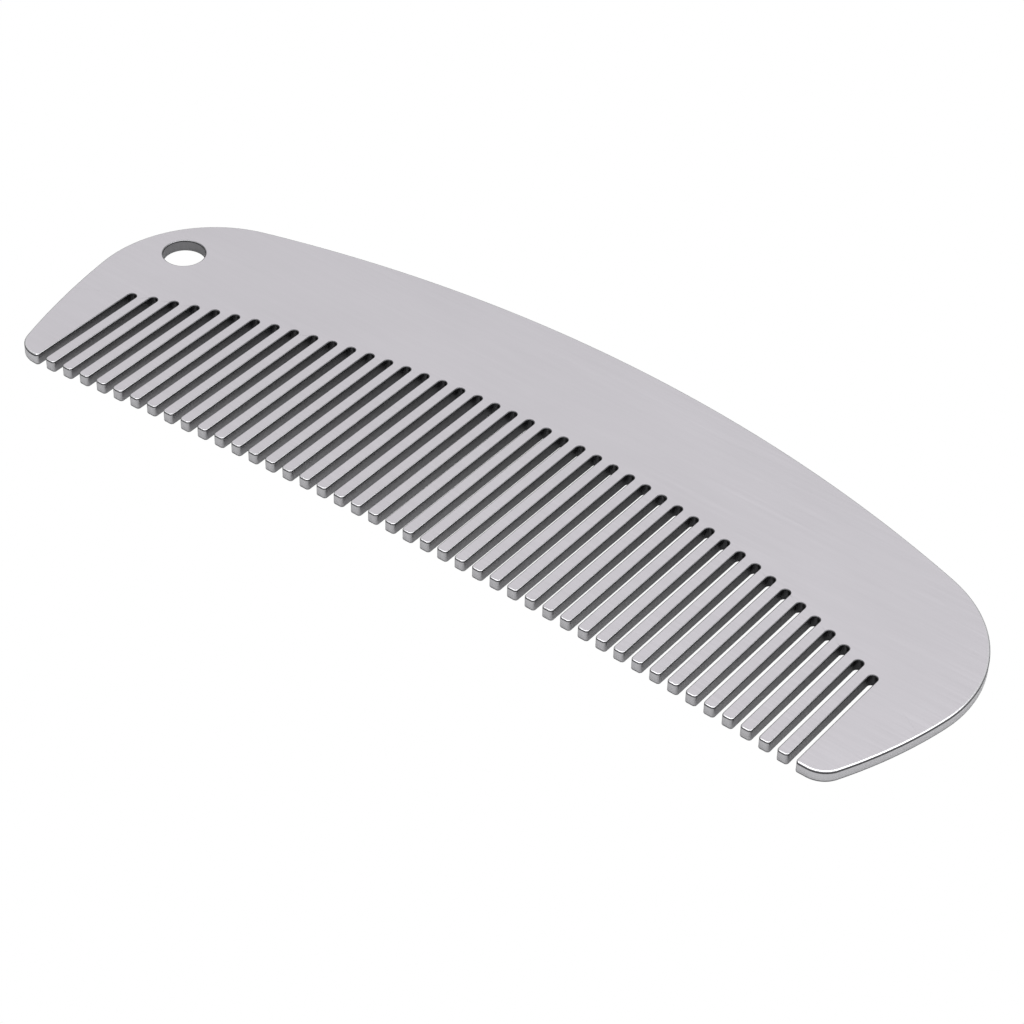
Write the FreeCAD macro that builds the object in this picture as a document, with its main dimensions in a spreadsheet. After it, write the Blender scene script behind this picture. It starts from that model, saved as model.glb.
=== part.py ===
"""Beard comb: one flat sheet of stainless steel with a curved back and 43 fine teeth.

The comb lies flat. +X runs along the comb, away from the hanging hole. +Y points
from the tooth tips to the back. +Z is up through the sheet. The origin is under
the middle of the comb's outline. Lengths are in millimetres.

The round ends of all the slots are half circles, centred on one arc, the root arc.
The spine ends between two slots in a straight line from one half circle to the next.
Each tooth hangs from such a line, face to face with the spine and nowhere in it. Each
end guard hangs from the line that runs from the last slot to the flank of the comb.
"""
import FreeCAD, Part
import math
import os

import Sketcher
from FreeCAD import Vector

SLOTS = 44
TEETH = SLOTS - 1

# ends of an arc or a line in a sketch, and the sketch's own origin
START, END, CENTRE = 1, 2, 3
ORIGIN = (-1, 1)

DIMENSIONS = [
    # the sheet and its toothing
    ("sheet_thickness", 1.5),
    ("pitch", 2.35),
    ("slot_width", 1.0),
    ("first_slot_x", -51.5),
    ("edge_break", 0.15),
    ("tip_corner", 0.4),
    # the hanging hole
    ("hole_diameter", 5.0),
    ("hole_x", -52.6),
    ("hole_y", 4.36),
    # the three long arcs, each given by its radius and its highest point
    ("back_radius", 157.0),
    ("back_crown_x", -1.25),
    ("back_crown_y", 20.76),
    ("root_radius", 124.5),
    ("root_crown_x", -0.5),
    ("root_crown_y", 5.16),
    ("tip_radius", 490.0),
    ("tip_crown_x", 2.1),
    ("tip_crown_y", -17.77),
    # the end with the hanging hole: its flank and the corner between flank and back
    ("hole_end_flank_radius", 93.8),
    ("hole_end_flank_x", 34.4),
    ("hole_end_flank_y", 7.76),
    ("hole_end_corner", 15.3),
    # the far end
    ("far_end_flank_radius", 53.1),
    ("far_end_flank_x", 6.55),
    ("far_end_flank_y", 5.26),
    ("far_end_corner", 16.0),
    # outer corner at the foot of both end guards
    ("guard_corner", 3.0),
]

doc = FreeCAD.newDocument("beard_comb")
dims = doc.addObject("Spreadsheet::Sheet", "dims")
for row, (alias, value) in enumerate(DIMENSIONS, start=1):
    dims.set("A%d" % row, alias)
    dims.set("B%d" % row, str(value))
    dims.setAlias("B%d" % row, alias)
doc.recompute()


# ---- places worked out from the sheet, where the sketches start ------------------------

def dim(alias):
    return float(dims.get(alias))


def crown_centre(name):
    """Centre of one of the long arcs."""
    return Vector(dim(name + "_crown_x"), dim(name + "_crown_y") - dim(name + "_radius"), 0)


def flank_centre(end):
    return Vector(dim(end + "_flank_x"), dim(end + "_flank_y"), 0)


def meeting(centre_a, radius_a, centre_b, radius_b, side):
    """Where two circles cross, on the side (+1 or -1) of the line from a to b."""
    line = centre_b - centre_a
    along = (radius_a ** 2 - radius_b ** 2 + line.Length ** 2) / (2 * line.Length)
    across = math.sqrt(radius_a ** 2 - along ** 2)
    unit = line / line.Length
    return centre_a + unit * along + Vector(-unit.y, unit.x, 0) * across * side


def beyond(centre, through, radius):
    """The point at radius from centre, in the direction of another point."""
    line = through - centre
    return centre + line / line.Length * radius


def arc_y(name, x):
    """Height of one of the long arcs at x."""
    centre = crown_centre(name)
    return centre.y + math.sqrt(dim(name + "_radius") ** 2 - (x - centre.x) ** 2)


def arc_formula(name, x_formula):
    """Expression for the height of one of the long arcs at x."""
    crown = "dims.%s_crown_" % name
    radius = "dims.%s_radius" % name
    return "%sy - %s + sqrt(%s^2 - (%s - %sx)^2)" % (crown, radius, radius, x_formula, crown)


def slot_formula(slot):
    """Expression for the middle of a slot. Slots are numbered from the hanging hole."""
    return "(dims.first_slot_x + %d * dims.pitch)" % (slot - 1)


def slot_middle(slot):
    """The centre of a slot's round end."""
    x = dim("first_slot_x") + (slot - 1) * dim("pitch")
    return Vector(x, arc_y("root", x), 0)


# ---- drawing in a sketch ----------------------------------------------------------------

def new_sketch(body, name):
    """A sketch on the body's own XY plane."""
    plane = next(f for f in body.Origin.OriginFeatures if f.Role == "XY_Plane")
    sketch = body.newObject("Sketcher::SketchObject", name)
    sketch.AttachmentSupport = [(plane, "")]
    sketch.MapMode = "FlatFace"
    return sketch


def draw_line(sketch, start, end):
    return sketch.addGeometry(Part.LineSegment(start, end))


def draw_arc(sketch, centre, start, end):
    """An arc, counter-clockwise from start to end."""
    circle = Part.Circle(centre, Vector(0, 0, 1), (start - centre).Length)
    first = math.atan2(start.y - centre.y, start.x - centre.x)
    last = math.atan2(end.y - centre.y, end.x - centre.x)
    return sketch.addGeometry(Part.ArcOfCircle(circle, first, last))


def draw_circle(sketch, centre, radius, construction=False):
    circle = Part.Circle(centre, Vector(0, 0, 1), radius)
    return sketch.addGeometry(circle, construction)


class Constraints:
    """The constraints of one sketch, kept until all are known and then added together."""

    def __init__(self, sketch):
        self.sketch = sketch
        self.rows = []
        self.bindings = []

    def fix(self, kind, *geometry):
        """A constraint without a size."""
        self.rows.append(Sketcher.Constraint(kind, *geometry))

    def drive(self, name, formula, kind, *geometry):
        """A constraint whose size is bound to the sheet."""
        value = float(self.sketch.evalExpression(formula))
        self.bindings.append((len(self.rows), name, formula))
        self.rows.append(Sketcher.Constraint(kind, *geometry, value))

    def drive_point(self, name, x_formula, y_formula, geometry, point):
        self.drive(name + "_x", x_formula, "DistanceX", *ORIGIN, geometry, point)
        self.drive(name + "_y", y_formula, "DistanceY", *ORIGIN, geometry, point)

    def drive_long_arc(self, name, arc):
        self.drive(name + "_radius", "dims.%s_radius" % name, "Radius", arc)
        self.drive_point(name + "_centre", "dims.%s_crown_x" % name,
                         "dims.%s_crown_y - dims.%s_radius" % (name, name), arc, CENTRE)

    def drive_flank(self, end, arc):
        self.drive(end + "_flank_radius", "dims.%s_flank_radius" % end, "Radius", arc)
        self.drive_point(end + "_flank_centre", "dims.%s_flank_x" % end,
                         "dims.%s_flank_y" % end, arc, CENTRE)

    def add(self):
        first = self.sketch.ConstraintCount
        self.sketch.addConstraint(self.rows)
        for row, name, formula in self.bindings:
            self.sketch.renameConstraint(first + row, name)
            self.sketch.setExpression("Constraints." + name, formula)


# ---- solids -----------------------------------------------------------------------------

def pad(body, sketch):
    """The sketch given the thickness of the sheet."""
    feature = body.newObject("PartDesign::Pad", body.Name + "_sheet")
    feature.Profile = sketch
    feature.setExpression("Length", "dims.sheet_thickness")
    sketch.Visibility = False
    doc.recompute()
    return feature


def break_edges(body, base, faces_of_contact):
    """Break the rims of both flat faces, except along the faces that meet other pieces."""
    top = dim("sheet_thickness")
    names = []
    for number, edge in enumerate(base.Shape.Edges, start=1):
        middle = edge.valueAt((edge.FirstParameter + edge.LastParameter) / 2)
        on_rim = any(abs(edge.Vertexes[0].Z - z) < 1e-6 for z in (0, top))
        level = edge.BoundBox.ZLength < 1e-6
        touching = any(line.distToShape(Part.Vertex(middle.x, middle.y, 0))[0] < 1e-5
                       for line in faces_of_contact)
        if on_rim and level and not touching:
            names.append("Edge%d" % number)
    feature = body.newObject("PartDesign::Chamfer", body.Name + "_broken_edges")
    feature.Base = (base, names)
    feature.setExpression("Size", "dims.edge_break")
    doc.recompute()
    return feature


# ---- spine ------------------------------------------------------------------------------

def contact_lines():
    """The lines where the spine meets the end guards and the teeth, from hole end to far end."""
    half = Vector(dim("slot_width") / 2, 0, 0)
    first, last = slot_middle(1), slot_middle(SLOTS)
    lines = [(guard_top("hole_end", -1), first - half)]
    for slot in range(1, SLOTS):
        lines.append((slot_middle(slot) + half, slot_middle(slot + 1) - half))
    lines.append((last + half, guard_top("far_end", 1)))
    return lines


def guard_top(end, side):
    """Where the root arc reaches the flank."""
    return meeting(crown_centre("root"), dim("root_radius"),
                   flank_centre(end), dim(end + "_flank_radius"), -side)


def draw_back(sketch, rules, foot):
    """The back, the two corners and the two flanks. Returns the two flanks."""
    back = crown_centre("back")
    corner, joint_back, joint_flank = {}, {}, {}
    for end, side in (("hole_end", 1), ("far_end", -1)):
        flank, radius = flank_centre(end), dim(end + "_flank_radius")
        small = dim(end + "_corner")
        corner[end] = meeting(back, dim("back_radius") - small, flank, radius - small, side)
        joint_back[end] = beyond(back, corner[end], dim("back_radius"))
        joint_flank[end] = beyond(flank, corner[end], radius)

    far_flank = draw_arc(sketch, flank_centre("far_end"), foot["far_end"], joint_flank["far_end"])
    far_corner = draw_arc(sketch, corner["far_end"], joint_flank["far_end"], joint_back["far_end"])
    back_arc = draw_arc(sketch, back, joint_back["far_end"], joint_back["hole_end"])
    hole_corner = draw_arc(sketch, corner["hole_end"], joint_back["hole_end"],
                           joint_flank["hole_end"])
    hole_flank = draw_arc(sketch, flank_centre("hole_end"), joint_flank["hole_end"],
                          foot["hole_end"])
    chain = [far_flank, far_corner, back_arc, hole_corner, hole_flank]
    for before, after in zip(chain, chain[1:]):
        rules.fix("Tangent", before, END, after, START)
    rules.drive_long_arc("back", back_arc)
    rules.drive("hole_end_corner", "dims.hole_end_corner", "Radius", hole_corner)
    rules.drive("far_end_corner", "dims.far_end_corner", "Radius", far_corner)
    rules.drive_flank("hole_end", hole_flank)
    rules.drive_flank("far_end", far_flank)
    return hole_flank, far_flank


def draw_slot_ends(sketch, rules, lines, hole_flank, far_flank):
    """The half circles that end the slots, joined by the lines that the teeth hang from."""
    root = draw_circle(sketch, crown_centre("root"), dim("root_radius"), construction=True)
    rules.drive_long_arc("root", root)
    drawn = [draw_line(sketch, start, end) for start, end in lines]
    rules.fix("Coincident", drawn[0], START, hole_flank, END)
    rules.fix("PointOnObject", drawn[0], START, root)
    for slot in range(1, SLOTS + 1):
        before, after = drawn[slot - 1], drawn[slot]
        round_end = draw_arc(sketch, slot_middle(slot), lines[slot][0], lines[slot - 1][1])
        rules.fix("Coincident", before, END, round_end, END)
        rules.fix("Coincident", after, START, round_end, START)
        rules.fix("Horizontal", round_end, START, round_end, CENTRE)
        rules.fix("Horizontal", round_end, END, round_end, CENTRE)
        rules.fix("PointOnObject", round_end, CENTRE, root)
        rules.drive("slot_%02d_x" % slot, slot_formula(slot),
                    "DistanceX", *ORIGIN, round_end, CENTRE)
        rules.drive("slot_%02d_width" % slot, "dims.slot_width", "Diameter", round_end)
    rules.fix("PointOnObject", drawn[-1], END, root)
    rules.fix("Coincident", drawn[-1], END, far_flank, START)


def add_spine():
    """The solid part of the sheet that carries all the teeth, with the hanging hole."""
    body = doc.addObject("PartDesign::Body", "spine")
    outline = new_sketch(body, "spine_outline")
    rules = Constraints(outline)
    lines = contact_lines()
    foot = {"hole_end": lines[0][0], "far_end": lines[-1][1]}
    hole_flank, far_flank = draw_back(outline, rules, foot)
    draw_slot_ends(outline, rules, lines, hole_flank, far_flank)

    centre = Vector(dim("hole_x"), dim("hole_y"), 0)
    hole = draw_circle(outline, centre, dim("hole_diameter") / 2)
    rules.drive("hole_diameter", "dims.hole_diameter", "Diameter", hole)
    rules.drive_point("hole", "dims.hole_x", "dims.hole_y", hole, CENTRE)
    rules.add()

    break_edges(body, pad(body, outline), [Part.makeLine(*line) for line in lines])
    return body


# ---- fine teeth -------------------------------------------------------------------------

def add_tooth(number):
    """One fine tooth: parallel sides, rounded tip corners, hung between two slots' ends."""
    body = doc.addObject("PartDesign::Body", "tooth_%02d" % number)
    sketch = new_sketch(body, "tooth_%02d_outline" % number)

    before, after = slot_formula(number), slot_formula(number + 1)
    top_left, top_right = contact_lines()[number]
    left, right = top_left.x, top_right.x
    tip = arc_y("tip", (left + right) / 2)
    corner = dim("tip_corner")

    top = draw_line(sketch, top_right, top_left)
    left_side = draw_line(sketch, top_left, Vector(left, tip + corner, 0))
    left_corner = draw_arc(sketch, Vector(left + corner, tip + corner, 0),
                           Vector(left, tip + corner, 0), Vector(left + corner, tip, 0))
    tip_line = draw_line(sketch, Vector(left + corner, tip, 0), Vector(right - corner, tip, 0))
    right_corner = draw_arc(sketch, Vector(right - corner, tip + corner, 0),
                            Vector(right - corner, tip, 0), Vector(right, tip + corner, 0))
    right_side = draw_line(sketch, Vector(right, tip + corner, 0), top_right)

    rules = Constraints(sketch)
    rules.fix("Coincident", top, END, left_side, START)
    chain = [left_side, left_corner, tip_line, right_corner, right_side]
    for one, following in zip(chain, chain[1:]):
        rules.fix("Tangent", one, END, following, START)
    rules.fix("Coincident", right_side, END, top, START)
    rules.fix("Vertical", left_side)
    rules.fix("Horizontal", tip_line)
    rules.fix("Vertical", right_side)
    rules.drive_point("top_left", before + " + dims.slot_width / 2",
                      arc_formula("root", before), left_side, START)
    rules.drive_point("top_right", after + " - dims.slot_width / 2",
                      arc_formula("root", after), right_side, END)
    rules.drive("tip_y", arc_formula("tip", "(%s + %s) / 2" % (before, after)),
                "DistanceY", *ORIGIN, tip_line, START)
    rules.drive("left_corner", "dims.tip_corner", "Radius", left_corner)
    rules.drive("right_corner", "dims.tip_corner", "Radius", right_corner)
    rules.add()

    break_edges(body, pad(body, sketch), [Part.makeLine(top_left, top_right)])
    return body


# ---- end guards -------------------------------------------------------------------------

def add_guard(end, side, slot):
    """The broad end tooth beside one end slot. side is -1 at the hole end, +1 at the far end."""
    body = doc.addObject("PartDesign::Body", "guard_" + end)
    sketch = new_sketch(body, "guard_%s_outline" % end)

    inner_formula = "(%s + %d * dims.slot_width / 2)" % (slot_formula(slot), side)
    slot_end = slot_middle(slot)
    inner = slot_end.x + side * dim("slot_width") / 2
    tip = arc_y("tip", inner)
    corner, foot = dim("tip_corner"), dim("guard_corner")
    flank, radius = flank_centre(end), dim(end + "_flank_radius")
    foot_y = tip + foot
    foot_x = flank.x + side * math.sqrt((radius - foot) ** 2 - (foot_y - flank.y) ** 2)
    foot_centre = Vector(foot_x, foot_y, 0)

    top_inner = Vector(inner, slot_end.y, 0)
    top_outer = guard_top(end, side)
    on_flank = beyond(flank, foot_centre, radius)
    foot_low = Vector(foot_x, tip, 0)
    corner_low = Vector(inner + side * corner, tip, 0)
    corner_side = Vector(inner, tip + corner, 0)
    corner_centre = Vector(inner + side * corner, tip + corner, 0)

    # Sketch arcs run counter-clockwise, so the two ends swap on the mirrored guard.
    first, last = (START, END) if side < 0 else (END, START)

    def arc(centre, before, after):
        ends = (before, after) if side < 0 else (after, before)
        return draw_arc(sketch, centre, *ends)

    root = draw_circle(sketch, crown_centre("root"), dim("root_radius"), construction=True)
    top = draw_line(sketch, top_inner, top_outer)
    flank_arc = arc(flank, top_outer, on_flank)
    foot_arc = arc(foot_centre, on_flank, foot_low)
    tip_line = draw_line(sketch, foot_low, corner_low)
    tip_corner = arc(corner_centre, corner_low, corner_side)
    inner_side = draw_line(sketch, corner_side, top_inner)

    rules = Constraints(sketch)
    rules.fix("Coincident", top, END, flank_arc, first)
    rules.fix("Tangent", flank_arc, last, foot_arc, first)
    rules.fix("Tangent", foot_arc, last, tip_line, START)
    rules.fix("Tangent", tip_line, END, tip_corner, first)
    rules.fix("Tangent", tip_corner, last, inner_side, START)
    rules.fix("Coincident", inner_side, END, top, START)
    rules.fix("PointOnObject", top, END, root)
    rules.fix("Horizontal", tip_line)
    rules.fix("Vertical", inner_side)
    rules.drive_long_arc("root", root)
    rules.drive_flank(end, flank_arc)
    rules.drive_point("top_inner", inner_formula, arc_formula("root", slot_formula(slot)),
                      inner_side, END)
    rules.drive("tip_y", arc_formula("tip", inner_formula), "DistanceY", *ORIGIN, tip_line, END)
    rules.drive("foot_corner", "dims.guard_corner", "Radius", foot_arc)
    rules.drive("inner_corner", "dims.tip_corner", "Radius", tip_corner)
    rules.add()

    break_edges(body, pad(body, sketch), [Part.makeLine(top_inner, top_outer)])
    return body


# ---- the comb ---------------------------------------------------------------------------

pieces = [add_spine()]
pieces.append(add_guard("hole_end", -1, 1))
pieces.append(add_guard("far_end", 1, SLOTS))
for number in range(1, TEETH + 1):
    pieces.append(add_tooth(number))
doc.recompute()

for item in doc.Objects:
    if "Invalid" in item.State or "Error" in item.State:
        raise RuntimeError("%s failed: %s" % (item.Name, item.State))
for piece in pieces:
    shape = piece.Shape
    if shape.isNull() or not shape.isValid() or len(shape.Solids) != 1:
        raise RuntimeError("%s is not one valid solid" % piece.Label)

os.makedirs("parts", exist_ok=True)
for piece in pieces:
    piece.Shape.exportStep("parts/%s.step" % piece.Label)

bounds = [piece.Shape.BoundBox for piece in pieces]
low = Vector(min(b.XMin for b in bounds), min(b.YMin for b in bounds), min(b.ZMin for b in bounds))
high = Vector(max(b.XMax for b in bounds), max(b.YMax for b in bounds), max(b.ZMax for b in bounds))
print("%d pieces, from %s to %s" % (len(pieces), low, high))
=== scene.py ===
"""Beard comb, stamped from one flat sheet of stainless steel and finished satin.

The comb lies flat on the floor. +X runs away from the hanging hole, +Y from the tooth
tips to the back, +Z up through the sheet. Outlines are drawn in millimetres.
"""

import math

import bmesh
import bpy
from mathutils import Matrix, Vector
from mathutils.geometry import tessellate_polygon


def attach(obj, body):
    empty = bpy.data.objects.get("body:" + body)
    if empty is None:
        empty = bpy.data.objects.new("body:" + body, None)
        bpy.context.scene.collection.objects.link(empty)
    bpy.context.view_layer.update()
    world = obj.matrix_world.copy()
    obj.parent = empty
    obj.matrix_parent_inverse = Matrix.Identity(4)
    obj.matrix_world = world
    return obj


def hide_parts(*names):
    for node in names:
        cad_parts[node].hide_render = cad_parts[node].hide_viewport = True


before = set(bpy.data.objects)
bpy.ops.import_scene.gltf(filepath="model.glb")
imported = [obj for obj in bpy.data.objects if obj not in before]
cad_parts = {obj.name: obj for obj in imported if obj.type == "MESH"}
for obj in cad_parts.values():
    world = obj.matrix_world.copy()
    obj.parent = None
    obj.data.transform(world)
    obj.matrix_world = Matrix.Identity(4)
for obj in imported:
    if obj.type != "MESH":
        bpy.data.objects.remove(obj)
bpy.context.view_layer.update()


# ---- spine --------------------------------------------------------------------------------
# The spine is the broad, solid part of the sheet: a long curved back, two round shoulders
# and the hanging hole. Its lower side ends in the half round roots of 44 sawn slots.
# It is stainless sheet 1.5 mm thick, ground lengthwise, and every rim is tumbled round.

SHEET = 1.5
# each rim is a quarter round of six steps with a narrow flat band beside it on the face
RIM_STEPS = 6
FLAT_MARGIN = 0.03
# for each kind of rim: its radius on the upper and on the lower face, and how much the
# wall between them is darkened by painted shade, deepest in the slots' ends, then the hole
# and the slots, where shade falls
OUTER_RIM = (0.24, 0.26, 0.05)
SLOT_RIM = (0.12, 0.14, 0.72)
SLOT_END_RIM = (0.12, 0.14, 1.0)
HOLE_RIM = (0.14, 0.14, 0.85)
# a dark line is painted where the rounding runs into the cut wall, a painted reflection of
# dark surroundings: how dark it is painted above and below, over how many steps of the
# rounding, and how far it runs on and fades on the wall
PAINTED_DARK_LINE = (1.0, 0.78)
PAINTED_LINE_STEPS = 3
PAINTED_LINE_RUN, PAINTED_LINE_FADE = 0.03, 0.08

PITCH = 2.35
SLOT_WIDTH = 1.0
FIRST_SLOT = -51.5
SLOTS = 44

BACK_CENTRE, BACK_RADIUS = (-1.25, -136.24), 157.0
ROOT_CENTRE, ROOT_RADIUS = (-0.5, -119.34), 124.5
HOLE_END_FLANK, HOLE_END_RADIUS, HOLE_END_SHOULDER = (34.4, 7.76), 93.8, 15.3
FAR_END_FLANK, FAR_END_RADIUS, FAR_END_SHOULDER = (6.55, 5.26), 53.1, 16.0
HANGING_HOLE, HOLE_RADIUS = (-52.6, 4.36), 2.5

SATIN_FACE = (0.608, 0.588, 0.622)
TUMBLED_EDGE = (0.640, 0.635, 0.655)
# the dark grey that is painted onto the cut walls as shade
PAINTED_SHADE_GREY = (0.10, 0.10, 0.105)
# how far the two finishes vary: in shade, in roughness, and in depth as metres
FACE_SHADES, EDGE_SHADES = (0.975, 1.025), (0.97, 1.03)
FACE_ROUGHNESS, EDGE_ROUGHNESS = (0.28, 0.34), (0.22, 0.28)
GRAIN_DEPTH = 0.00001
# nearly all of a noise lies in this range
NOISE_RANGE = (0.3, 0.7)


def crossing(centre_a, radius_a, centre_b, radius_b, side):
    """Where two circles cross, on the side (+1 or -1) of the line from a to b."""
    a, b = Vector(centre_a), Vector(centre_b)
    line = b - a
    along = (radius_a ** 2 - radius_b ** 2 + line.length_squared) / (2 * line.length)
    across = math.sqrt(radius_a ** 2 - along ** 2)
    unit = line.normalized()
    return a + unit * along + Vector((-unit.y, unit.x)) * across * side


def bearing(centre, point):
    """The angle at which the point lies, seen from the centre."""
    return math.atan2(point[1] - centre[1], point[0] - centre[0])


def arc_wall(centre, radius, start, end, steps, rim, rim_at_end=None, metal_inside=True):
    """Points along an arc, each with the direction into the metal and the three facts of its
    rim there, which may change evenly along the arc."""
    inward = -1 if metal_inside else 1
    wall = []
    for step in range(steps + 1):
        share = step / steps
        angle = start + (end - start) * share
        out = Vector((math.cos(angle), math.sin(angle)))
        rims = Vector(rim).lerp(Vector(rim_at_end or rim), share)
        wall.append((Vector(centre) + out * radius, out * inward, rims))
    return wall


def root_of_slot(slot):
    """The centre of a slot's half round end. Slots count from the hanging hole."""
    x = FIRST_SLOT + (slot - 1) * PITCH
    y = ROOT_CENTRE[1] + math.sqrt(ROOT_RADIUS ** 2 - (x - ROOT_CENTRE[0]) ** 2)
    return x, y


def edge_profile(rims):
    """Depth into the metal, height and painted shade of each line along a wall, going up."""
    halves = []
    # a painted dark line, a painted reflection, is laid along each rounding and onto the wall
    for radius, line in zip(rims[:2], PAINTED_DARK_LINE):
        line = max(line, rims[2])
        between = (line + rims[2]) / 2
        half = [(radius + FLAT_MARGIN, 0.0, rims[2])]
        for step in range(RIM_STEPS, -1, -1):
            turn = math.pi / 2 * step / RIM_STEPS
            half.append((radius * (1 - math.cos(turn)), radius * (1 - math.sin(turn)),
                         line if step < PAINTED_LINE_STEPS else
                         between if step == PAINTED_LINE_STEPS else rims[2]))
        half += [(0.0, radius + PAINTED_LINE_RUN, line), (0.0, radius + PAINTED_LINE_FADE, rims[2])]
        halves.append(half)
    upper, lower = halves
    return lower + [(depth, SHEET - height, painted_dark) for depth, height, painted_dark in upper[::-1]]


def sheet_piece(name, walls, hole=None):
    """A closed piece of the sheet. walls are open runs of wall, in order round the piece with
    the metal on the left. A flat contact face joins the end of each to the start of the
    next."""
    mesh = bmesh.new()
    run_length = mesh.verts.layers.float.new("edge_run")
    # each wall line's painted shade, from 0 to 1
    painted_shade = mesh.verts.layers.float.new("painted_shade")
    tumbled = mesh.faces.layers.int.new("tumbled")
    levels = len(edge_profile(OUTER_RIM)) - 1

    def lay_wall(wall, closed):
        columns, length, last = [], 0.0, wall[0][0]
        for place, inward, rims in wall:
            length += (place - last).length
            last = place
            column = []
            for depth, height, painted_dark in edge_profile(rims):
                x, y = place + inward * depth
                vertex = mesh.verts.new((x / 1000, y / 1000, height / 1000))
                vertex[run_length] = length
                vertex[painted_shade] = painted_dark
                column.append(vertex)
            columns.append(column)
        pairs = list(zip(columns, columns[1:]))
        if closed:
            pairs.append((columns[-1], columns[0]))
        for a, b in pairs:
            for level in range(levels):
                face = mesh.faces.new((a[level], b[level], b[level + 1], a[level + 1]))
                face.smooth = True
                face[tumbled] = 0 < level < levels - 1
        return columns

    runs = [lay_wall(wall, False) for wall in walls]
    for run, following in zip(runs, runs[1:] + runs[:1]):
        contact = mesh.faces.new(following[0] + run[-1][::-1])
        for edge in contact.edges:
            edge.smooth = False
    hole_columns = lay_wall(hole, True) if hole else []

    for level, upwards in ((0, False), (-1, True)):
        loops = [[column[level] for run in runs for column in run]]
        if hole:
            loops.append([column[level] for column in hole_columns])
        corners = [vertex for loop in loops for vertex in loop]
        for triangle in tessellate_polygon([[vertex.co for vertex in loop] for loop in loops]):
            a, b, c = (corners[index] for index in triangle)
            is_up = (b.co - a.co).cross(c.co - a.co).z > 0
            face = mesh.faces.new((a, b, c) if is_up == upwards else (a, c, b))
            face.smooth = True

    data = bpy.data.meshes.new(name)
    mesh.to_mesh(data)
    mesh.free()
    piece = bpy.data.objects.new(name, data)
    bpy.context.scene.collection.objects.link(piece)
    return piece


def stretched_noise(nodes, links, source, scale, detail=2.0, turn=0.0):
    """Noise drawn out along one direction. scale is in features per metre."""
    mapping = nodes.new("ShaderNodeMapping")
    mapping.inputs["Scale"].default_value = scale
    mapping.inputs["Rotation"].default_value = (0, 0, turn)
    noise = nodes.new("ShaderNodeTexNoise")
    noise.inputs["Scale"].default_value = 1.0
    noise.inputs["Detail"].default_value = detail
    links.new(source, mapping.inputs["Vector"])
    links.new(mapping.outputs["Vector"], noise.inputs["Vector"])
    return noise.outputs["Fac"]


def ranged(nodes, links, value, low, high, low_to, high_to):
    """The value, with low to high stretched to low_to to high_to."""
    node = nodes.new("ShaderNodeMapRange")
    for socket, number in zip(node.inputs[1:5], (low, high, low_to, high_to)):
        socket.default_value = number
    links.new(value, node.inputs["Value"])
    return node.outputs["Result"]


def combined(nodes, links, a, b, operation="ADD"):
    """Two values added, or joined by another operation."""
    node = nodes.new("ShaderNodeMath")
    node.operation = operation
    links.new(a, node.inputs[0])
    links.new(b, node.inputs[1])
    return node.outputs[0]


def tinted(nodes, links, value, dark, light):
    """A colour from dark at 0 to light at 1."""
    node = nodes.new("ShaderNodeMix")
    node.data_type = "RGBA"
    node.inputs["A"].default_value = (*dark, 1)
    node.inputs["B"].default_value = (*light, 1)
    links.new(value, node.inputs["Factor"])
    return node.outputs["Result"]


def steel(name):
    """A bare metal with its nodes, links and shader."""
    material = bpy.data.materials.new(name)
    material.use_nodes = True
    shader = material.node_tree.nodes["Principled BSDF"]
    shader.inputs["Metallic"].default_value = 1.0
    return material, material.node_tree.nodes, material.node_tree.links, shader


def ground_face_steel():
    """Flat faces: a fine grain from a lengthwise grinding belt, with a few longer lines and
    the soft patches of an even satin finish."""
    material, nodes, links, shader = steel("ground_face_steel")
    place = nodes.new("ShaderNodeTexCoord").outputs["Object"]
    grain = stretched_noise(nodes, links, place, (140, 7000, 7000), detail=3.0)
    lines = stretched_noise(nodes, links, place, (35, 2400, 2400), turn=0.02)
    patches = stretched_noise(nodes, links, place, (45, 70, 70))

    tone = combined(nodes, links,
                    ranged(nodes, links, grain, *NOISE_RANGE, 0.0, 0.4),
                    ranged(nodes, links, patches, *NOISE_RANGE, 0.0, 0.6))
    dark, light = (tuple(part * shade for part in SATIN_FACE) for shade in FACE_SHADES)
    links.new(tinted(nodes, links, tone, dark, light), shader.inputs["Base Color"])

    rough = combined(nodes, links,
                     ranged(nodes, links, grain, *NOISE_RANGE, *FACE_ROUGHNESS),
                     ranged(nodes, links, lines, 0.55, 0.75, 0.0, 0.03))
    links.new(rough, shader.inputs["Roughness"])

    bump = nodes.new("ShaderNodeBump")
    bump.inputs["Strength"].default_value = 0.25
    bump.inputs["Distance"].default_value = GRAIN_DEPTH
    links.new(grain, bump.inputs["Height"])
    links.new(bump.outputs["Normal"], shader.inputs["Normal"])
    return material


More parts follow.
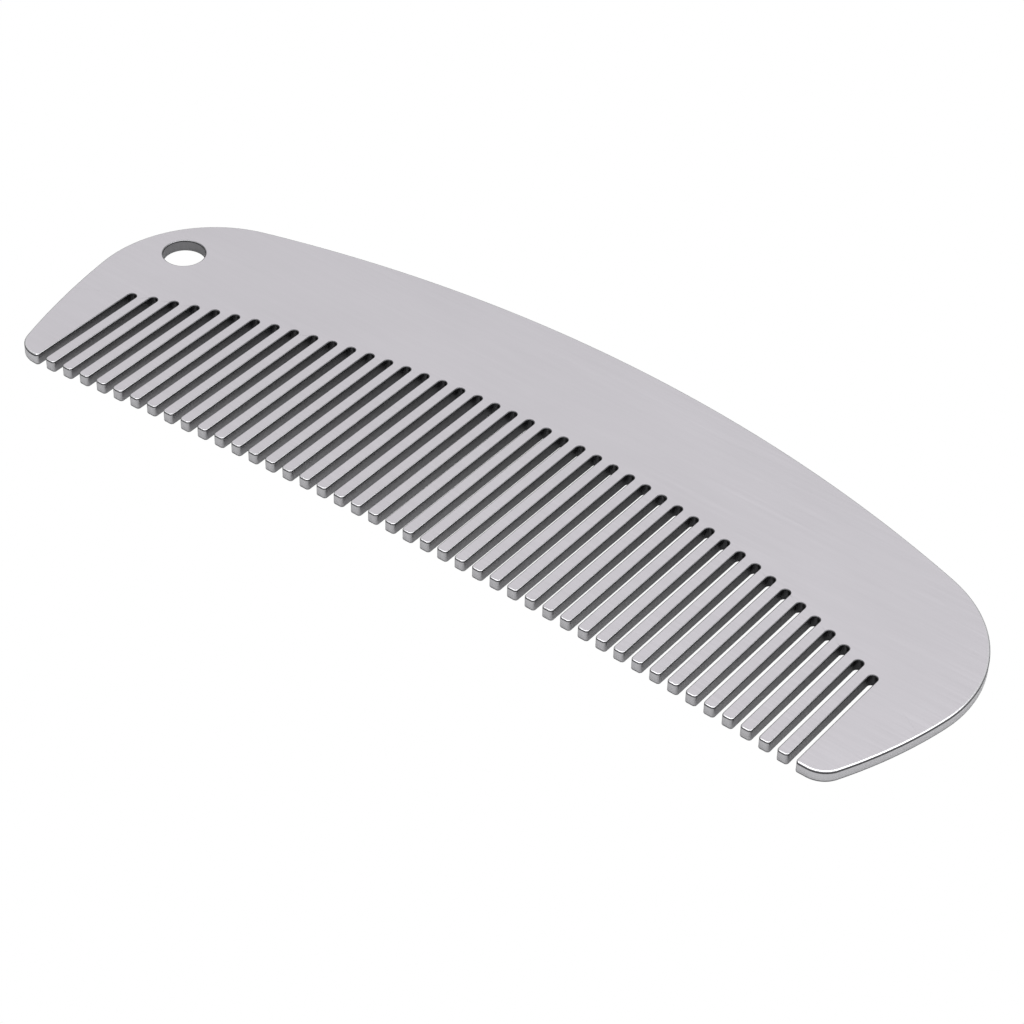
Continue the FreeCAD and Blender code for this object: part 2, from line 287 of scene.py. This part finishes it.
def tumbled_edge_steel():
    """Cut walls and their rims: marks of the cut run through the thickness. Tumbling has made
    them a little brighter than the faces. Painted shade darkens them in the slots and the
    hole, and in a dark line along each rim."""
    material, nodes, links, shader = steel("tumbled_edge_steel")
    run = nodes.new("ShaderNodeAttribute")
    run.attribute_name = "edge_run"
    height = nodes.new("ShaderNodeSeparateXYZ")
    links.new(nodes.new("ShaderNodeTexCoord").outputs["Object"], height.inputs["Vector"])
    unrolled = nodes.new("ShaderNodeCombineXYZ")
    links.new(run.outputs["Fac"], unrolled.inputs["X"])
    links.new(height.outputs["Z"], unrolled.inputs["Y"])
    marks = stretched_noise(nodes, links, unrolled.outputs["Vector"], (3, 300, 1))
    worn = stretched_noise(nodes, links, unrolled.outputs["Vector"], (0.4, 900, 1))

    tone = combined(nodes, links,
                    ranged(nodes, links, marks, *NOISE_RANGE, 0.0, 0.6),
                    ranged(nodes, links, worn, *NOISE_RANGE, 0.0, 0.4))
    dark, light = (tuple(part * shade for part in TUMBLED_EDGE) for shade in EDGE_SHADES)
    bright = tinted(nodes, links, tone, dark, light)
    # painted shade: the walls turn towards the dark grey by the painted shade value stored on
    # each wall line, squared
    shade_input = nodes.new("ShaderNodeAttribute")
    shade_input.attribute_name = "painted_shade"
    painted_dark = combined(nodes, links, shade_input.outputs["Fac"], shade_input.outputs["Fac"], "MULTIPLY")
    finish = nodes.new("ShaderNodeMix")
    finish.data_type = "RGBA"
    finish.inputs["B"].default_value = (*PAINTED_SHADE_GREY, 1)
    links.new(painted_dark, finish.inputs["Factor"])
    links.new(bright, finish.inputs["A"])
    links.new(finish.outputs["Result"], shader.inputs["Base Color"])
    rough = combined(nodes, links,
                     ranged(nodes, links, marks, *NOISE_RANGE, *EDGE_ROUGHNESS),
                     ranged(nodes, links, painted_dark, 0.0, 1.0, 0.0, 0.12))
    links.new(rough, shader.inputs["Roughness"])

    bump = nodes.new("ShaderNodeBump")
    bump.inputs["Strength"].default_value = 0.05
    bump.inputs["Distance"].default_value = GRAIN_DEPTH
    links.new(marks, bump.inputs["Height"])
    links.new(bump.outputs["Normal"], shader.inputs["Normal"])
    return material


def finish_steel(piece):
    """Gives a piece its two finishes and fixes it to the one body."""
    piece.data.materials.append(face_steel)
    piece.data.materials.append(edge_steel)
    marks = piece.data.attributes["tumbled"].data
    for polygon in piece.data.polygons:
        polygon.material_index = marks[polygon.index].value
    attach(piece, "root")


face_steel = ground_face_steel()
edge_steel = tumbled_edge_steel()

hole_shoulder = crossing(HOLE_END_FLANK, HOLE_END_RADIUS - HOLE_END_SHOULDER,
                         BACK_CENTRE, BACK_RADIUS - HOLE_END_SHOULDER, -1)
far_shoulder = crossing(FAR_END_FLANK, FAR_END_RADIUS - FAR_END_SHOULDER,
                        BACK_CENTRE, BACK_RADIUS - FAR_END_SHOULDER, 1)
hole_guard_top = crossing(ROOT_CENTRE, ROOT_RADIUS, HOLE_END_FLANK, HOLE_END_RADIUS, 1)
far_guard_top = crossing(ROOT_CENTRE, ROOT_RADIUS, FAR_END_FLANK, FAR_END_RADIUS, -1)

far_top_angle = bearing(FAR_END_FLANK, far_guard_top)
far_flank_angle = bearing(FAR_END_FLANK, far_shoulder)
far_back_angle = bearing(BACK_CENTRE, far_shoulder)
hole_back_angle = bearing(BACK_CENTRE, hole_shoulder)
hole_flank_angle = bearing(HOLE_END_FLANK, hole_shoulder) % (2 * math.pi)
hole_top_angle = bearing(HOLE_END_FLANK, hole_guard_top) % (2 * math.pi)

outer_wall = (
    arc_wall(FAR_END_FLANK, FAR_END_RADIUS, far_top_angle, far_flank_angle, 10, OUTER_RIM)
    + arc_wall(far_shoulder, FAR_END_SHOULDER, far_flank_angle, far_back_angle, 40,
               OUTER_RIM)[1:]
    + arc_wall(BACK_CENTRE, BACK_RADIUS, far_back_angle, hole_back_angle, 120, OUTER_RIM)[1:]
    + arc_wall(hole_shoulder, HOLE_END_SHOULDER, hole_back_angle, hole_flank_angle, 40,
               OUTER_RIM)[1:]
    + arc_wall(HOLE_END_FLANK, HOLE_END_RADIUS, hole_flank_angle, hole_top_angle, 10,
               OUTER_RIM)[1:])
slot_roots = [arc_wall(root_of_slot(slot), SLOT_WIDTH / 2, math.pi, 0, 18, SLOT_END_RIM,
                       metal_inside=False) for slot in range(1, SLOTS + 1)]
hole_wall = arc_wall(HANGING_HOLE, HOLE_RADIUS, 0, -2 * math.pi, 72, HOLE_RIM,
                     metal_inside=False)[:-1]

spine = sheet_piece("spine", [outer_wall] + slot_roots, hole_wall)
finish_steel(spine)
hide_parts("spine")


# ---- end guards ---------------------------------------------------------------------------
# A guard is the broad outer tooth at each end of the row. It keeps the thin teeth from
# catching. It is the same sheet: the flank of the comb outside, a straight slot wall
# inside and a foot with one large and one small corner.

TIP_CENTRE, TIP_RADIUS = (2.1, -507.77), 490.0
TIP_CORNER = 0.4
GUARD_CORNER = 3.0


def tip_height(x):
    """Where the arc of the tips lies at x."""
    return TIP_CENTRE[1] + math.sqrt(TIP_RADIUS ** 2 - (x - TIP_CENTRE[0]) ** 2)


def guard_wall(side, slot, flank, flank_radius, top):
    """The wall of a guard, from its top on the flank round the foot to the slot. side is -1
    at the hanging hole and +1 at the far end."""
    slot_x, slot_y = root_of_slot(slot)
    inner = slot_x + side * SLOT_WIDTH / 2
    foot = tip_height(inner)
    reach = math.sqrt((flank_radius - GUARD_CORNER) ** 2
                      - (foot + GUARD_CORNER - flank[1]) ** 2)
    large = Vector((flank[0] + side * reach, foot + GUARD_CORNER))
    small = Vector((inner + side * TIP_CORNER, foot + TIP_CORNER))

    def outward(centre, point):
        angle = bearing(centre, point)
        return angle % (2 * math.pi) if side < 0 else angle

    down = 1.5 * math.pi if side < 0 else -0.5 * math.pi
    inwards = 2 * math.pi if side < 0 else -math.pi
    wall = (arc_wall(flank, flank_radius, outward(flank, top), outward(flank, large), 30,
                     OUTER_RIM)
            + arc_wall(large, GUARD_CORNER, outward(flank, large), down, 20, OUTER_RIM)[1:]
            + arc_wall(small, TIP_CORNER, down, inwards, 8, OUTER_RIM, SLOT_RIM)
            + [(Vector((inner, slot_y)), Vector((side, 0)), Vector(SLOT_END_RIM))])
    return wall if side < 0 else wall[::-1]


guard_hole_end = sheet_piece("guard_hole_end", [guard_wall(
    -1, 1, HOLE_END_FLANK, HOLE_END_RADIUS, hole_guard_top)])
finish_steel(guard_hole_end)
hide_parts("guard_hole_end")

guard_far_end = sheet_piece("guard_far_end", [guard_wall(
    1, SLOTS, FAR_END_FLANK, FAR_END_RADIUS, far_guard_top)])
finish_steel(guard_far_end)
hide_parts("guard_far_end")


# ---- fine teeth ---------------------------------------------------------------------------
# The 43 teeth are what the sawn slots leave of the sheet: straight fingers 1.35 mm wide and
# 15 to 23 mm long, with small round corners at the tip. Their roots follow one arc and their
# tips a flatter one, so each has its own length.

TEETH = SLOTS - 1
BLANK_LENGTH = 20.0
# the third number is the painted shade on the tip walls
TIP_RIM = (0.14, 0.28, 0.35)


def tooth_blank():
    """One tooth with its root at y = 0, before it is cut to length."""
    half = (PITCH - SLOT_WIDTH) / 2
    low = TIP_CORNER - BLANK_LENGTH
    wall = ([(Vector((-half, 0)), Vector((1, 0)), Vector(SLOT_END_RIM))]
            + arc_wall((TIP_CORNER - half, low), TIP_CORNER, math.pi, 1.5 * math.pi, 6,
                       SLOT_RIM, TIP_RIM)
            + arc_wall((half - TIP_CORNER, low), TIP_CORNER, 1.5 * math.pi, 2 * math.pi, 6,
                       TIP_RIM, SLOT_RIM)
            + [(Vector((half, 0)), Vector((-1, 0)), Vector(SLOT_END_RIM))])
    return sheet_piece("fine_teeth", [wall])


def tooth_row_tree():
    """Sets the blank beside every slot and moves its two ends to the root and tip arcs."""
    tree = bpy.data.node_groups.new("tooth_row", "GeometryNodeTree")
    interface = tree.interface
    interface.new_socket("Geometry", in_out="INPUT", socket_type="NodeSocketGeometry")
    interface.new_socket("Teeth", in_out="INPUT", socket_type="NodeSocketInt")
    for word in ("Pitch", "First tooth", "Blank length", "Root centre X", "Root centre Y",
                 "Root radius", "Tip centre X", "Tip centre Y", "Tip radius"):
        interface.new_socket(word, in_out="INPUT", socket_type="NodeSocketFloat")
    for word in ("Face finish", "Edge finish"):
        interface.new_socket(word, in_out="INPUT", socket_type="NodeSocketMaterial")
    interface.new_socket("Geometry", in_out="OUTPUT", socket_type="NodeSocketGeometry")
    nodes, links = tree.nodes, tree.links
    sizes = nodes.new("NodeGroupInput").outputs

    def reckon(operation, *values):
        node = nodes.new("ShaderNodeMath")
        node.operation = operation
        for socket, value in zip(node.inputs, values):
            if isinstance(value, (int, float)):
                socket.default_value = value
            else:
                links.new(value, socket)
        return node.outputs[0]

    def split(vector):
        node = nodes.new("ShaderNodeSeparateXYZ")
        links.new(vector, node.inputs[0])
        return node.outputs

    def joined(x=None, y=None, z=None):
        node = nodes.new("ShaderNodeCombineXYZ")
        for socket, value in zip(node.inputs, (x, y, z)):
            if value is not None:
                links.new(value, socket)
        return node.outputs[0]

    def kept(geometry, name, kind, value):
        node = nodes.new("GeometryNodeStoreNamedAttribute")
        node.data_type = kind
        node.domain = "POINT"
        node.inputs["Name"].default_value = name
        links.new(geometry, node.inputs["Geometry"])
        links.new(value, node.inputs["Value"])
        return node.outputs["Geometry"]

    def recalled(name, kind):
        node = nodes.new("GeometryNodeInputNamedAttribute")
        node.data_type = kind
        node.inputs["Name"].default_value = name
        return node.outputs["Attribute"]

    def on_arc(word, x):
        run = reckon("SUBTRACT", x, sizes[word + " centre X"])
        rise = reckon("SQRT", reckon("SUBTRACT", reckon("MULTIPLY", sizes[word + " radius"],
                                                        sizes[word + " radius"]),
                                     reckon("MULTIPLY", run, run)))
        return reckon("ADD", sizes[word + " centre Y"], rise)

    place = nodes.new("GeometryNodeInputPosition").outputs[0]
    row = nodes.new("GeometryNodeMeshLine")
    row.mode = "OFFSET"
    links.new(sizes["Teeth"], row.inputs["Count"])
    links.new(joined(sizes["First tooth"]), row.inputs["Start Location"])
    links.new(joined(sizes["Pitch"]), row.inputs["Offset"])
    middles = kept(row.outputs["Mesh"], "tooth_middle", "FLOAT", split(place)[0])
    blank = kept(sizes["Geometry"], "on_blank", "FLOAT_VECTOR", place)

    stand = nodes.new("GeometryNodeInstanceOnPoints")
    links.new(middles, stand.inputs["Points"])
    links.new(blank, stand.inputs["Instance"])
    real = nodes.new("GeometryNodeRealizeInstances")
    links.new(stand.outputs["Instances"], real.inputs["Geometry"])

    middle = recalled("tooth_middle", "FLOAT")
    blank_x, blank_y, blank_z = split(recalled("on_blank", "FLOAT_VECTOR"))
    slot_x = reckon("ADD", middle, reckon("MULTIPLY", reckon("SIGN", blank_x),
                                          reckon("MULTIPLY", sizes["Pitch"], 0.5)))
    at_root = reckon("ADD", on_arc("Root", slot_x), blank_y)
    at_tip = reckon("ADD", on_arc("Tip", middle), reckon("ADD", blank_y, sizes["Blank length"]))
    is_tip = reckon("LESS_THAN", blank_y, reckon("MULTIPLY", sizes["Blank length"], -0.5))
    height = reckon("ADD", reckon("MULTIPLY", is_tip, at_tip),
                    reckon("MULTIPLY", reckon("SUBTRACT", 1.0, is_tip), at_root))
    cut = nodes.new("GeometryNodeSetPosition")
    links.new(real.outputs["Geometry"], cut.inputs["Geometry"])
    links.new(joined(reckon("ADD", middle, blank_x), height, blank_z), cut.inputs["Position"])

    shape = cut.outputs["Geometry"]
    for name in ("tooth_middle", "on_blank"):
        drop = nodes.new("GeometryNodeRemoveAttribute")
        drop.inputs["Name"].default_value = name
        links.new(shape, drop.inputs["Geometry"])
        shape = drop.outputs["Geometry"]
    for finish, chosen in (("Face finish", None), ("Edge finish", recalled("tumbled", "INT"))):
        paint = nodes.new("GeometryNodeSetMaterial")
        links.new(shape, paint.inputs["Geometry"])
        links.new(sizes[finish], paint.inputs["Material"])
        if chosen is not None:
            links.new(chosen, paint.inputs["Selection"])
        shape = paint.outputs["Geometry"]
    links.new(shape, nodes.new("NodeGroupOutput").inputs[0])
    return tree


fine_teeth = tooth_blank()
row = fine_teeth.modifiers.new("tooth_row", "NODES")
row.node_group = tooth_row_tree()
row_sizes = {
    "Teeth": TEETH,
    "Pitch": PITCH / 1000,
    "First tooth": (FIRST_SLOT + PITCH / 2) / 1000,
    "Blank length": BLANK_LENGTH / 1000,
    "Root centre X": ROOT_CENTRE[0] / 1000,
    "Root centre Y": ROOT_CENTRE[1] / 1000,
    "Root radius": ROOT_RADIUS / 1000,
    "Tip centre X": TIP_CENTRE[0] / 1000,
    "Tip centre Y": TIP_CENTRE[1] / 1000,
    "Tip radius": TIP_RADIUS / 1000,
    "Face finish": face_steel,
    "Edge finish": edge_steel,
}
for socket in row.node_group.interface.items_tree:
    if socket.in_out == "INPUT" and socket.name in row_sizes:
        row[socket.identifier] = row_sizes[socket.name]
bpy.context.view_layer.update()
whole_row = bpy.data.meshes.new_from_object(
    fine_teeth.evaluated_get(bpy.context.evaluated_depsgraph_get()))
fine_teeth.modifiers.remove(row)
fine_teeth.data = whole_row
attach(fine_teeth, "root")
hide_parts(*("tooth_%02d" % number for number in range(1, TEETH + 1)))


# ---- floor and light ----------------------------------------------------------------------
# A plain white sheet of paper under the comb, shown at full white. The light is one large
# softbox overhead and the pale walls of the studio, which end in a dark band just above the
# floor.

FLOOR_DEPTH = -2e-5
FLOOR_REACH = 3.0
PAPER_WHITE = 0.44
# the paper is left out for light that leaves the comb's underside straight into it, within
# a tenth of a millimetre, and for a look from below
TOUCHING = 1e-4
# how pale the studio is at each height, from -1 straight below to 1 straight above
STUDIO_BELOW, STUDIO_ABOVE = 0.7, 0.88
DARK_BAND = ((0.0, STUDIO_BELOW), (0.02, 0.05), (0.18, 0.05), (0.26, STUDIO_ABOVE))
SOFTBOX_SIZE, SOFTBOX_WATTS = (1.62, 0.63), 11.0
SOFTBOX_PLACE, SOFTBOX_TURN = (0.225, 0.135, 0.9), math.radians(37.7)

floor_mesh = bpy.data.meshes.new("floor")
floor_mesh.from_pydata([(x * FLOOR_REACH, y * FLOOR_REACH, FLOOR_DEPTH)
                        for x, y in ((-1, -1), (1, -1), (1, 1), (-1, 1))], [], [(0, 1, 2, 3)])
floor = bpy.data.objects.new("floor", floor_mesh)
bpy.context.scene.collection.objects.link(floor)
floor_white = bpy.data.materials.new("floor_white")
floor_white.use_nodes = True
nodes, links = floor_white.node_tree.nodes, floor_white.node_tree.links
nodes.remove(nodes["Principled BSDF"])
paper = nodes.new("ShaderNodeBsdfDiffuse")
paper.inputs["Color"].default_value = (PAPER_WHITE, PAPER_WHITE, PAPER_WHITE, 1)
full_white = nodes.new("ShaderNodeEmission")
seen = nodes.new("ShaderNodeMixShader")
links.new(nodes.new("ShaderNodeLightPath").outputs["Is Camera Ray"], seen.inputs["Fac"])
links.new(paper.outputs[0], seen.inputs[1])
links.new(full_white.outputs[0], seen.inputs[2])
left_out = nodes.new("ShaderNodeMixShader")
touching = nodes.new("ShaderNodeMath")
touching.operation = "LESS_THAN"
touching.inputs[1].default_value = TOUCHING
links.new(nodes.new("ShaderNodeLightPath").outputs["Ray Length"], touching.inputs[0])
links.new(combined(nodes, links, touching.outputs[0],
                   nodes.new("ShaderNodeNewGeometry").outputs["Backfacing"], "MAXIMUM"),
          left_out.inputs["Fac"])
links.new(seen.outputs[0], left_out.inputs[1])
links.new(nodes.new("ShaderNodeBsdfTransparent").outputs[0], left_out.inputs[2])
links.new(left_out.outputs[0], nodes["Material Output"].inputs["Surface"])
floor_mesh.materials.append(floor_white)

studio = bpy.data.worlds.new("studio")
bpy.context.scene.world = studio
studio.use_nodes = True
nodes, links = studio.node_tree.nodes, studio.node_tree.links
rise = nodes.new("ShaderNodeSeparateXYZ")
links.new(nodes.new("ShaderNodeTexCoord").outputs["Generated"], rise.inputs[0])
walls = nodes.new("ShaderNodeValToRGB")
links.new(ranged(nodes, links, rise.outputs["Z"], -1, 1, 0, 1), walls.inputs["Fac"])
band = walls.color_ramp.elements
for height, grey in DARK_BAND:
    band.new((height + 1) / 2).color = (grey, grey, grey, 1)
band[0].color = (STUDIO_BELOW, STUDIO_BELOW, STUDIO_BELOW, 1)
band[-1].color = (STUDIO_ABOVE, STUDIO_ABOVE, STUDIO_ABOVE, 1)
shown = nodes.new("ShaderNodeMix")
shown.data_type = "RGBA"
shown.inputs["B"].default_value = (1, 1, 1, 1)
links.new(nodes.new("ShaderNodeLightPath").outputs["Is Camera Ray"], shown.inputs["Factor"])
links.new(walls.outputs["Color"], shown.inputs["A"])
links.new(shown.outputs["Result"], nodes["Background"].inputs["Color"])

softbox = bpy.data.lights.new("softbox", "AREA")
softbox.shape = "RECTANGLE"
softbox.size, softbox.size_y = SOFTBOX_SIZE
softbox.energy = SOFTBOX_WATTS
overhead = bpy.data.objects.new("softbox", softbox)
overhead.location = SOFTBOX_PLACE
overhead.rotation_euler.z = SOFTBOX_TURN
bpy.context.scene.collection.objects.link(overhead)


# ---- camera -------------------------------------------------------------------------------
# A long lens, a third of a metre away, looking down on the comb from its front right.

camera_data = bpy.data.cameras.new("camera")
camera_data.lens = 111.23
camera_data.sensor_width = 36.0
camera = bpy.data.objects.new("camera", camera_data)
bpy.context.scene.collection.objects.link(camera)
camera.matrix_world = Matrix((
    (0.7902, -0.4142, 0.4518, 0.15789),
    (0.6122, 0.4991, -0.6133, -0.21473),
    (0.0286, 0.7612, 0.6479, 0.21979),
    (0, 0, 0, 1)))
bpy.context.scene.camera = camera
bpy.context.scene.view_settings.view_transform = "Standard"
